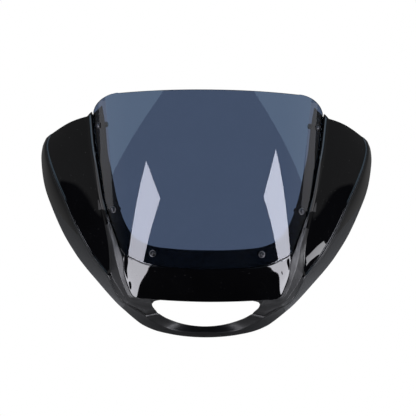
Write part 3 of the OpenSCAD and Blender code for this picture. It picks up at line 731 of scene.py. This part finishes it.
def buildShell():
    front, at = refineRows(outer)
    back, _ = refineRows(innerFace())
    rows, cols = front.shape[:2]
    last, side = rows - 1, cols - 1
    holeTop, holeLow = at[rowFore], at[rowBand]
    wall = shell["wall"]
    # Round the outside edge: both faces stop short of it and a half round joins them
    border, inward = borderCells(last, side)
    edgeA, edgeB = (np.array([pullIn(g, c, n, shell["edgeInset"]) for c, n in zip(border, inward)])
                    for g in (front, back))
    outward = unit(np.array([front[c] - front[n] + back[c] - back[n] for c, n in zip(border, inward)]))
    for c, a, b in zip(border, edgeA, edgeB):
        front[c], back[c] = a, b
    # The headlight opening: a rounded lip, a turned-back flange and its rounded end
    loop = loopCells(holeTop, holeLow)
    lip = np.array([front[c] for c in loop])
    ends = flangeEnd(loop, holeTop, lip)
    away = loopAway(lip, ends, 3)
    start = []
    for (i, j), p in zip(loop, lip):
        n = front[i + (1 if i == holeLow else -1 if i == holeTop else 0),
                  j + (1 if j == lastSide else -1 if j == sideCol else 0)]
        start.append(mix(p, n, min(shell["openingRadius"] / np.linalg.norm(n - p), shell["edgeRoom"])))
    start = np.array(start)
    turned = lip + unit(ends - lip) * shell["openingRadius"]
    for c, p in zip(loop, start):
        front[c] = p
    rings = []
    for k in range(1, 6):
        t = k / 5
        rings.append((1 - t) ** 2 * start + 2 * t * (1 - t) * lip + t * t * turned)
    short = ends - unit(ends - lip) * shell["edgeInset"]
    rings += [mix(turned, short, k / 5) for k in range(1, 6)]
    inside = short + away * wall
    rings += roundEdge(short, inside, unit(ends - lip))
    softRings = len(rings) - 1  # up to the flange's rounded end
    rings.append(inside)
    hidden = np.array([back[c] for c in loop])
    rings += [mix(inside, hidden, k / 4) for k in range(1, 4)]
    parts = MeshParts()
    base = parts.add(front)
    rear = parts.add(back)
    for i in range(last):
        for j in range(side):
            if holeTop <= i < holeLow and sideCol <= j < lastSide:
                continue
            a = i * cols + j
            b = a + cols
            s = stationOf[j]
            # The pillar, the lower band and the wing panel's outer edge have the softer gloss
            low = at[rowRim] if s > shell["allSoftFrom"] else at[rowPin] if s > shell["softFrom"] else 0
            soft = at[rowFore] + 2 <= i < low or at[rowPout] + 2 <= i < at[rowDout] + 3
            parts.quad(base + a, base + a + 1, base + b + 1, base + b, softFinish if soft else glossFinish)
            parts.quad(rear + a, rear + b, rear + b + 1, rear + a + 1, satinFinish)
    cell = lambda first, c: first + c[0] * cols + c[1]
    before = parts.loft([cell(base, c) for c in border], roundEdge(edgeA, edgeB, outward))
    parts.strip(before, [cell(rear, c) for c in border])
    before = parts.loft([cell(base, c) for c in loop], rings,
                        lambda k: softFinish if k < softRings else satinFinish)
    parts.strip(before, [cell(rear, c) for c in loop], satinFinish)
    obj = makeObject("shellMoulding", toRow(np.array(parts.points)), parts.faces,
                     shellFinishes, parts.finish)
    keep = np.array([not (holeTop <= i < holeLow and sideCol <= j < lastSide)
                     for i in range(last) for j in range(side)])
    quads = [(i * cols + j, (i + 1) * cols + j, (i + 1) * cols + j + 1, i * cols + j + 1)
             for i in range(last) for j in range(side)]
    wallTree = BVHTree.FromPolygons([tuple(p) for p in toRow(back).reshape(-1, 3)],
                                    [q for q, used in zip(quads, keep) if used])
    return obj, wallTree


def buildBoss(name, place, side, wallTree, steps=48):
    # A moulded boss that meets the back of the wall, however it slopes, in a fillet
    x, y, z = place
    r, f = shell["bossD"] / 2, shell["bossFillet"]
    angle = np.arange(steps) * 2 * math.pi / steps

    def reachAt(radius):
        found = []
        for q in angle:
            start = Vector(((x * side + radius * math.cos(q)) / 1000, y / 1000,
                            (z + radius * math.sin(q)) / 1000))
            hit = wallTree.ray_cast(start, Vector((0, -1, 0)), shell["bossReach"] / 1000)
            found.append(-1 if hit[0] is None else hit[3] * 1000)
        found = np.array(found)
        return np.where(found < 0, np.median(found[found >= 0]), found)

    near, far = reachAt(r), reachAt(r + f)
    circle = np.stack([np.cos(angle), np.zeros(steps), np.sin(angle)], -1)

    def ring(radius, depth):
        return (np.array([x * side, y, z]) + circle * np.reshape(radius, (-1, 1))
                - np.array([0, 1, 0]) * np.reshape(depth, (-1, 1)))

    f = np.minimum(f, near * 0.45)
    top = near - f
    rows = [ring(r - 1.0, 0.0), ring(r - 0.3, 0.3), ring(r, 1.0)]
    rows += [ring(r, 1.0 + (top - 1.0) * k / 3) for k in (1, 2, 3)]
    for k in range(1, 6):
        t = k / 5
        rows.append(ring((1 - t * t) * r + t * t * (r + f), (1 - t) ** 2 * top + 2 * t * (1 - t) * near
                         + t * t * (far + 0.4)))
    rows.append(ring(r + f, far + 1.6))
    parts = MeshParts()
    loops = [parts.ring(pts) for pts in rows]
    for a, b in zip(loops[:-1], loops[1:]):
        parts.strip(b, a)
    capTop = parts.add([np.array(rows[0]).mean(0)])
    capLow = parts.add([np.array(rows[-1]).mean(0)])
    parts.strip(loops[0], [capTop] * steps)
    parts.strip([capLow] * steps, loops[-1])
    return makeObject(name, np.array(parts.points) / 1000, parts.faces,
                      shellFinishes, [satinFinish] * len(parts.faces))


def cutter(name, spot, axis, radius, below, above):
    start = Vector(spot) - Vector(axis) * below
    return tube(name, start, axis, radius, below + above, shellFinishes)


moulding, wallTree = buildShell()
print("shell skin:", len(moulding.data.polygons), "faces")
bossParts = [buildBoss("boss", bosses[level], side, wallTree) for level in bosses for side in (1, -1)]
combine(moulding, bossParts, "UNION")
print("with bosses:", len(moulding.data.polygons), "faces")
tools = []
seatDrop = (screen["thick"] + screen["seatGap"] + shell["wall"] + shell["holePast"]) / 1000
for _, _, spot, out in screwPlaces:
    tools.append(cutter("hole", spot, out, shell["wellHole"] / 2000, seatDrop, -shell["holeStart"] / 1000))
for _, _, spot in bossPlaces:
    tools.append(cutter("bore", spot, (0, 1, 0), shell["insertHole"] / 2000,
                        shell["insertDepth"] / 1000, shell["boreOver"] / 1000))
combine(moulding, tools, "DIFFERENCE")
print("with holes:", len(moulding.data.polygons), "faces")
moulding.name = "shellMoulding"
moulding.data.set_sharp_from_angle(angle=math.radians(38))
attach(moulding, "root")
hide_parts("fairing_shell")


# Windscreen: its side edge by step, then a fine grid over the whole pane
screenTop = screen["foot"] + screen["height"]
sideSteps = 22.0


def sideEdge(k):
    # A step up the windscreen's side: along the guide, then round the upper corner
    def onGuide(n):
        return guide("edge", screen["cornerS"] - n * screen["cornerS"] / 15.5)

    def onArc(n):
        a = math.radians(6 + 14 * (n - 16))
        rise = screenTop - screen["topArch"] - screen["cornerU"]
        return np.array([screen["cornerX"] + screen["cornerRx"] * math.cos(a),
                         screen["cornerU"] + rise * math.sin(a)])

    return onGuide(k) if k <= 15 else onArc(k) if k >= 16 else mix(onGuide(15), onArc(16), k - 15)


footEnd, topEnd = sideEdge(0), sideEdge(sideSteps)


def pane(k, w):
    # A point of the windscreen: k steps up its side, and w from its middle (0) out to that side (1)
    v, e = ease(k / sideSteps), sideEdge(k)
    b = guide("edge", 10 - (10 - screen["cornerS"]) * w)
    tx = w * topEnd[0]
    t = np.array([tx, screenTop - screen["topArch"] * (tx / screen["cornerX"]) ** 2.2])
    x = e[0] * mix(b[0] / footEnd[0], t[0] / topEnd[0], v)
    u = e[1] + (b[1] - footEnd[1]) * (1 - v) ** 1.5 + (t[1] - topEnd[1]) * v ** 1.5
    return x, u


def buildScreen():
    steps = screen["rows"]
    wide = screen["colsHalf"]
    across = [1 - (1 - k / wide) ** 1.6 for k in range(wide + 1)]
    plan = np.array([[pane(sideSteps * i / steps, w) for w in across] for i in range(steps + 1)])
    plan = np.concatenate([plan[:, :0:-1] * np.array([-1, 1]), plan], 1)
    # The rows bunch at the top, so the last ones are drawn down to leave room for the round edge
    plan[:, :, 1] -= screen["topDrop"] * (np.arange(steps + 1) / steps)[:, None] ** 12
    rows, cols = plan.shape[:2]
    last, side = rows - 1, cols - 1
    # The polished edge is round, so both faces stop short of the outline by edgeInset
    border, inner = borderCells(last, side)
    flat = np.array([plan[c] for c in border])
    gone = np.roll(flat, -1, 0) - np.roll(flat, 1, 0)
    outward = unit(np.stack([gone[:, 1], -gone[:, 0]], 1))
    outward *= np.sign(np.sum(outward * (flat - np.array([plan[c] for c in inner])), 1, keepdims=True))
    for c, n, o in zip(border, inner, outward):
        room = screen["edgeRoom"] * abs((plan[c] - plan[n]) @ o)
        plan[c] = plan[c] - o * min(screen["edgeInset"], room)
    front = np.array([[[x, u, face(x, u)] for x, u in row] for row in plan])
    normal = np.array([[faceNormal(x, u) for x, u in row] for row in plan])
    back = front - normal * screen["thick"]
    parts = MeshParts()
    base, rear = parts.add(front), parts.add(back)
    for i in range(last):
        for j in range(side):
            a = i * cols + j
            b = a + cols
            parts.quad(base + a, base + a + 1, base + b + 1, base + b)
            parts.quad(rear + a, rear + b, rear + b + 1, rear + a + 1)
    out3 = np.concatenate([outward, np.zeros((len(border), 1))], 1)
    edgeA = np.array([front[c] for c in border])
    edgeB = np.array([back[c] for c in border])
    before = parts.loft([base + c[0] * cols + c[1] for c in border],
                        roundEdge(edgeA, edgeB, out3, 6, screen["edgeBulge"]))
    parts.strip(before, [rear + c[0] * cols + c[1] for c in border])
    return makeObject("windscreenSheet", toRow(np.array(parts.points)), parts.faces, [smokeScreen])


sheet = buildScreen()
holes = []
for _, _, spot, out in screwPlaces:
    start = Vector(spot) - Vector(out) * screen["holeBelow"] / 1000
    holes.append(tube("hole", start, out, screen["holeD"] / 2000, screen["holeLength"] / 1000, [smokeScreen]))
combine(sheet, holes, "DIFFERENCE")
sheet.data.set_sharp_from_angle(angle=math.radians(40))
sheet.name = "windscreenSheet"
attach(sheet, "root")
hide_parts("windscreen")
print("windscreen:", len(sheet.data.polygons), "faces")


# Turned and moulded small pieces: rings of radius and height round their own axis, in mm
def latheMesh(name, rings, material, steps=48, closed=False, sharp=35):
    angle = np.arange(steps) * 2 * math.pi / steps
    parts = MeshParts()
    loops = []
    for r, z in rings:
        if np.ndim(r) == 0 and r == 0:
            first = parts.add([[0, 0, float(np.mean(z))]])
            loops.append([first] * steps)
            continue
        r, z = np.broadcast_to(r, steps), np.broadcast_to(z, steps)
        loops.append(parts.ring(np.stack([r * np.cos(angle), r * np.sin(angle), z], -1)))
    for a, b in zip(loops, loops[1:] + (loops[:1] if closed else [])):
        parts.strip(a, b)
    obj = makeObject(name, np.array(parts.points) / 1000, parts.faces, [material], sharp=sharp)
    mesh = obj.data
    bpy.data.objects.remove(obj)
    return mesh


def standPiece(name, mesh, spot, out, lift, node):
    # A copy of the mesh with its Z along out and its zero lift above spot
    data = mesh.copy()
    turned = Vector(out).to_track_quat("Z", "Y").to_matrix().to_4x4()
    data.transform(Matrix.Translation(Vector(spot) + Vector(out) * lift / 1000) @ turned)
    obj = bpy.data.objects.new(name, data)
    bpy.context.scene.collection.objects.link(obj)
    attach(obj, "root")
    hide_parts(node)
    return obj


def threadRings(radius, depth, pitch, low, high, steps, perPitch=6, inward=False):
    # Rings up a thread; the crests fade out at both ends
    angle = np.arange(steps) / steps
    rings = []
    count = int(round((high - low) / pitch * perPitch))
    for k in range(count + 1):
        z = low + (high - low) * k / count
        phase = (z / pitch - angle) % 1
        wave = 1 - np.abs(2 * phase - 1)
        body = np.clip((wave - 0.12) / 0.76, 0, 1)
        fade = ease((z - low) / pitch) * ease((high - z) / pitch)
        gone = depth * (body if inward else 1 - body) * fade
        rings.append((radius - gone, z))
    return rings


screw = {"radius": 2.5, "length": 22.0, "headR": 4.75, "headH": 2.75, "socketR": 1.75, "socketDeep": 1.5,
         "pitch": 0.8, "threadDeep": 0.42}


def screwMesh(steps=72):
    # A button head with a hexagon socket, standing on its underside, and a threaded shank below
    radius, length, headR = screw["radius"], screw["length"], screw["headR"]
    angle = np.arange(steps) * 2 * math.pi / steps
    hexR = screw["socketR"] * math.cos(math.pi / 6) / np.cos((angle % (math.pi / 3)) - math.pi / 6)
    dome = 1.25 * headR
    low = screw["headH"] - dome
    top = screw["headH"] - screw["socketDeep"]

    def domeZ(r):
        return low + math.sqrt(dome * dome - r * r)

    brim = domeZ(headR)
    rings = [(0, top - 0.45), (0.5, top - 0.3), (1.25, top), (hexR * 0.985, top), (hexR, top + 0.06)]
    rings += [(hexR, domeZ(2.0) - 0.18), (1.9, domeZ(2.0) - 0.05), (2.0, domeZ(2.0))]
    rings += [(r, domeZ(r)) for r in (2.3, 2.7, 3.1, 3.5, 3.9, 4.2, 4.45, 4.6)]
    rings += [(headR - 0.05, brim + 0.02), (headR, brim - 0.08), (headR, 0.12), (headR - 0.12, 0.0),
              (3.1, 0.0), (2.62, 0.0), (radius, -0.12)]
    rings += threadRings(radius, screw["threadDeep"], screw["pitch"], -length + 0.5, -1.2, steps)[::-1]
    rings += [(2.1, -length + 0.1), (1.6, -length), (0, -length)]
    return latheMesh("screwMesh", rings[::-1], surfaces["blackOxide"], steps, sharp=30)


washer = {"radius": 6.0, "hole": 2.7, "thick": 1.0, "lift": 0.15}


def washerMesh():
    r, h, t = washer["radius"], washer["hole"], washer["thick"]
    rings = [(h, 0.15), (h + 0.15, 0), (r - 0.1, 0), (r, 0.1), (r, t - 0.3), (r - 0.09, t - 0.09),
             (r - 0.3, t), (h + 0.15, t), (h, t - 0.15)]
    return latheMesh("washerMesh", rings, surfaces["blackZinc"], 72, closed=True)


nutInsert = {"radius": 3.7, "length": 8.0, "bore": 2.55, "pitch": 0.8, "knurls": 24, "steps": 48}
bracketInsert = {"radius": 4.5, "length": 12.0, "bore": 3.0, "pitch": 1.0, "knurls": 30, "steps": 60}
wellNut = {"radius": 4.9, "length": 17.0, "bore": 2.65, "flangeR": 7.0, "flangeT": 1.2}


def wellNutMesh():
    r, length, bore = wellNut["radius"], wellNut["length"], wellNut["bore"]
    flange, t = wellNut["flangeR"], wellNut["flangeT"]
    pocket, deep = nutInsert["radius"], nutInsert["length"]
    rings = [(bore, 0.0), (bore, t - 0.1), (bore + 0.1, t), (flange - 0.35, t), (flange - 0.1, t - 0.12),
             (flange, t / 2), (flange - 0.1, 0.12), (flange - 0.35, 0.0), (r + 0.55, 0.0), (r + 0.15, -0.12),
             (r - 0.02, -0.5)]
    for z in np.arange(-1.5, -length + 1.4, -1.0):  # shallow moulded rings along the body
        rings += [(r - 0.02, z + 0.25), (r - 0.14, z), (r - 0.02, z - 0.25)]
    rings += [(r, -length + 0.9), (r - 0.15, -length + 0.35), (r - 0.5, -length), (pocket + 0.05, -length),
              (pocket, -length + 0.1), (pocket, deep - length), (bore, deep - length)]
    return latheMesh("wellNutMesh", rings[::-1], surfaces["wellRubber"], 60, closed=True)


def tappedMesh(name, size):
    # A brass nut: chamfered ends, a knurled middle and an inner thread
    radius, length, bore, steps = size["radius"], size["length"], size["bore"], size["steps"]
    ridge = np.abs(((np.arange(steps) / steps * size["knurls"]) % 1) * 2 - 1)
    rings = [(bore + 0.35, 0.0), (radius - 0.35, 0.0), (radius - 0.05, 0.3), (radius - 0.05, 0.9)]
    rings += [(radius - 0.22 * ridge, z) for z in np.linspace(1.1, length - 1.1, 8)]
    rings += [(radius - 0.05, length - 0.9), (radius - 0.05, length - 0.3), (radius - 0.35, length),
              (bore + 0.35, length), (bore + 0.02, length - 0.35)]
    rings += threadRings(bore, size["pitch"] / 2, size["pitch"], 0.5, length - 0.5, steps, inward=True)[::-1]
    rings += [(bore + 0.02, 0.35)]
    return latheMesh(name, rings, surfaces["turnedBrass"], steps, closed=True, sharp=30)


wellTop = -screen["thick"] - screen["seatGap"] / 2 - wellNut["flangeT"] / 2
# Piece, mesh, height of its zero over the windscreen's face, material slot and CAD node
stack = [
    ("screw", screwMesh(), washer["lift"] + washer["thick"], "screw_steel", "screw_"),
    ("washer", washerMesh(), washer["lift"], "washer_steel", "washer_"),
    ("wellNut", wellNutMesh(), wellTop, "nut_rubber", "well_nut_"),
    ("nutInsert", tappedMesh("nutMesh", nutInsert), wellTop - wellNut["length"], "insert_brass",
     "nut_insert_")]
insertShape = tappedMesh("insertMesh", bracketInsert)
for name, sideName, spot, out in screwPlaces:
    for piece, mesh, lift, slot, node in stack:
        standPiece(piece + name.title() + sideName.title(), mesh, spot, out, lift,
                   node + name + "_" + sideName)
for level, sideName, spot in bossPlaces:
    standPiece("bracketInsert" + level.title() + sideName.title(), insertShape, spot, (0, 1, 0),
               -bracketInsert["length"], "bracket_insert_" + level + "_" + sideName)
print("fasteners placed")


# Camera: almost square on to the face from far away, turned and rolled as in the photograph
camera = {"aim": (2.4, 11.2, 100.0), "distance": 30.0, "width": 728.0, "sensor": 36.0, "roll": 0.55,
          "yaw": -1.3}
outOfFace = Vector((0, -leanSin, leanCos))
upFace = Vector((0, leanCos, leanSin))


def buildCamera():
    data = bpy.data.cameras.new("camera")
    data.sensor_width = camera["sensor"]
    data.lens = camera["sensor"] * camera["distance"] * 1000 / camera["width"]
    data.clip_start, data.clip_end = 0.5, 80
    data.dof.use_dof = False
    obj = bpy.data.objects.new("camera", data)
    bpy.context.scene.collection.objects.link(obj)
    yaw = math.radians(camera["yaw"])
    back = outOfFace * math.cos(yaw) + Vector((math.sin(yaw), 0, 0))
    stand = Matrix((upFace.cross(back), upFace, back)).transposed().to_4x4()
    place = Vector(toRow(camera["aim"])) + back * camera["distance"]
    roll = Matrix.Rotation(math.radians(camera["roll"]), 4, "Z")
    obj.matrix_world = Matrix.Translation(place) @ stand @ roll
    bpy.context.scene.camera = obj


buildCamera()

# Light. Softboxes are placed in the layout frame, in mm: centre, what they face and size.
softboxes = {
    "screenLeft": {"centre": (-375, -74, 514), "target": (-390, -236, 149), "size": (99, 315), "spin": -48.3,
                   "glow": 10.4, "colour": (1.0, 1.01, 1.16)},
    "screenRight": {"centre": (482, -73, 534), "target": (570, -211, 169), "size": (106, 442), "spin": 58.4,
                    "glow": 11.8, "colour": (0.98, 1.0, 1.14)},
    "foreheadLeft": {"centre": (-425, -330, 385), "target": (-140, -88, 183), "size": (185, 410),
                     "spin": -37.3, "glow": 10.5, "colour": (1.0, 1.0, 1.08)},
    "foreheadRight": {"centre": (461, -280, 317), "target": (141, -113, 145), "size": (165, 380),
                      "spin": 59.3, "glow": 11.0, "colour": (1.0, 1.0, 1.08)},
    "wingTipRight": {"centre": (246, -87, 112), "target": (190, -66, 127), "size": (22, 46), "spin": -30,
                     "glow": 4.5, "colour": (1.0, 1.0, 1.05)},
    "cardLeft": {"centre": (-469, 249, 444), "target": (-300, 118, 106), "size": (360, 470), "spin": -66.6,
                 "glow": 1.3, "colour": (0.70, 1.0, 1.30)},
    "cardRight": {"centre": (468, 253, 434), "target": (317, 128, 85), "size": (360, 470), "spin": 65.2,
                  "glow": 1.3, "colour": (0.70, 1.0, 1.30)},
    "stripLeft": {"centre": (-201, 100, 162), "target": (-168, 105, 154), "size": (30, 190), "spin": 0,
                  "glow": 0.95, "colour": (1.0, 1.0, 1.06)},
    "stripRight": {"centre": (201, 100, 162), "target": (168, 105, 154), "size": (30, 190), "spin": 0,
                   "glow": 0.95, "colour": (1.0, 1.0, 1.06)},
    "behind": {"centre": (0, 900, -1200), "target": (0, 0, 50), "size": (1000, 600), "spin": 0,
               "glow": 4.0, "colour": (1.0, 1.0, 1.03)},
}
fill = {"centre": (0, 900, 1500), "target": (0, 0, 100), "size": (1800, 900), "spin": 0, "colour": (1, 1, 1)}
fillWatts = 18.0
sky = {"behind": 0.24, "behindFrom": -0.35, "behindFull": -0.75, "side": 0.19, "sideFrom": 0.72,
       "sideRun": 0.15, "horizon": -0.145, "soft": 0.03, "diffuse": 0.45}


def areaLight(name, box, watts, glossy=True):
    data = bpy.data.lights.new(name, "AREA")
    data.shape = "RECTANGLE"
    data.size, data.size_y = box["size"][0] / 1000, box["size"][1] / 1000
    data.energy, data.color = watts, box["colour"]
    obj = bpy.data.objects.new(name, data)
    bpy.context.scene.collection.objects.link(obj)
    place, aim = Vector(toRow(box["centre"])), Vector(toRow(box["target"]))
    back = (place - aim).normalized()
    right = upFace.cross(back).normalized()
    stand = Matrix((right, back.cross(right), back)).transposed().to_4x4()
    obj.matrix_world = Matrix.Translation(place) @ stand @ Matrix.Rotation(math.radians(box["spin"]), 4, "Z")
    obj.visible_camera = False
    obj.visible_transmission = False
    obj.visible_glossy = glossy


for name, box in softboxes.items():
    area = box["size"][0] * box["size"][1] / 1e6
    areaLight(name, box, box["glow"] * math.pi * area)
areaLight("fill", fill, fillWatts, glossy=False)


def buildSky():
    world = bpy.data.worlds.new("studio")
    bpy.context.scene.world = world
    world.use_nodes = True
    tree = world.node_tree
    tree.nodes.clear()
    direction = addNode(tree, "ShaderNodeTexCoord").outputs["Generated"]

    def along(axis):
        return addNode(tree, "ShaderNodeVectorMath", {0: direction, 1: tuple(axis)},
                       operation="DOT_PRODUCT").outputs["Value"]

    # A glow behind the face and one at each side, for reflections only; white to the camera
    behind = addRange(tree, along(outOfFace), sky["behindFrom"], sky["behindFull"], 0.0, sky["behind"])
    outward = addMath(tree, "ABSOLUTE", along((1, 0, 0)))
    outward = addRange(tree, outward, sky["sideFrom"], sky["sideFrom"] + sky["sideRun"])
    above = addRange(tree, along(upFace), sky["horizon"], sky["horizon"] + sky["soft"])
    flank = addMath(tree, "MULTIPLY", addMath(tree, "MULTIPLY", outward, above), sky["side"])
    seen = addMath(tree, "MAXIMUM", behind, flank)
    path = addNode(tree, "ShaderNodeLightPath").outputs
    clear = addMath(tree, "MAXIMUM", path["Is Camera Ray"], path["Is Transmission Ray"])
    notGlossy = addMath(tree, "SUBTRACT", 1.0, path["Is Glossy Ray"])
    soft = addMath(tree, "MULTIPLY", notGlossy, sky["diffuse"])
    shown = addMath(tree, "ADD", addMath(tree, "MULTIPLY", seen, path["Is Glossy Ray"]), soft)
    value = addMath(tree, "MAXIMUM", shown, clear)
    light = addNode(tree, "ShaderNodeBackground", {"Color": (1, 1, 1, 1), "Strength": value})
    addNode(tree, "ShaderNodeOutputWorld", {"Surface": light.outputs["Background"]})


buildSky()

floor = {"size": 900.0, "z": -0.245, "y": 0.05, "colour": (0.18, 0.18, 0.18)}


def buildFloor():
    h = floor["size"] / 2000
    pts = [(-h, floor["y"] - h, floor["z"]), (h, floor["y"] - h, floor["z"]),
           (h, floor["y"] + h, floor["z"]), (-h, floor["y"] + h, floor["z"])]
    mat = bpy.data.materials.new("paleFloor")
    tree = nodeTree(mat)
    path = addNode(tree, "ShaderNodeLightPath").outputs
    seen = addMath(tree, "MAXIMUM", path["Is Camera Ray"], path["Is Transmission Ray"])
    plain = addNode(tree, "ShaderNodeBsdfDiffuse", {"Color": rgb(floor["colour"])})
    white = addNode(tree, "ShaderNodeEmission", {"Color": (1, 1, 1, 1), "Strength": 1.0})
    both = addNode(tree, "ShaderNodeMixShader", {0: seen, 1: plain.outputs[0], 2: white.outputs[0]})
    addNode(tree, "ShaderNodeOutputMaterial", {"Surface": both.outputs[0]})
    obj = makeObject("floor", pts, [(0, 1, 2, 3)], [mat])


buildFloor()
bpy.context.scene.view_settings.view_transform = "Standard"
print("camera, light and floor placed")
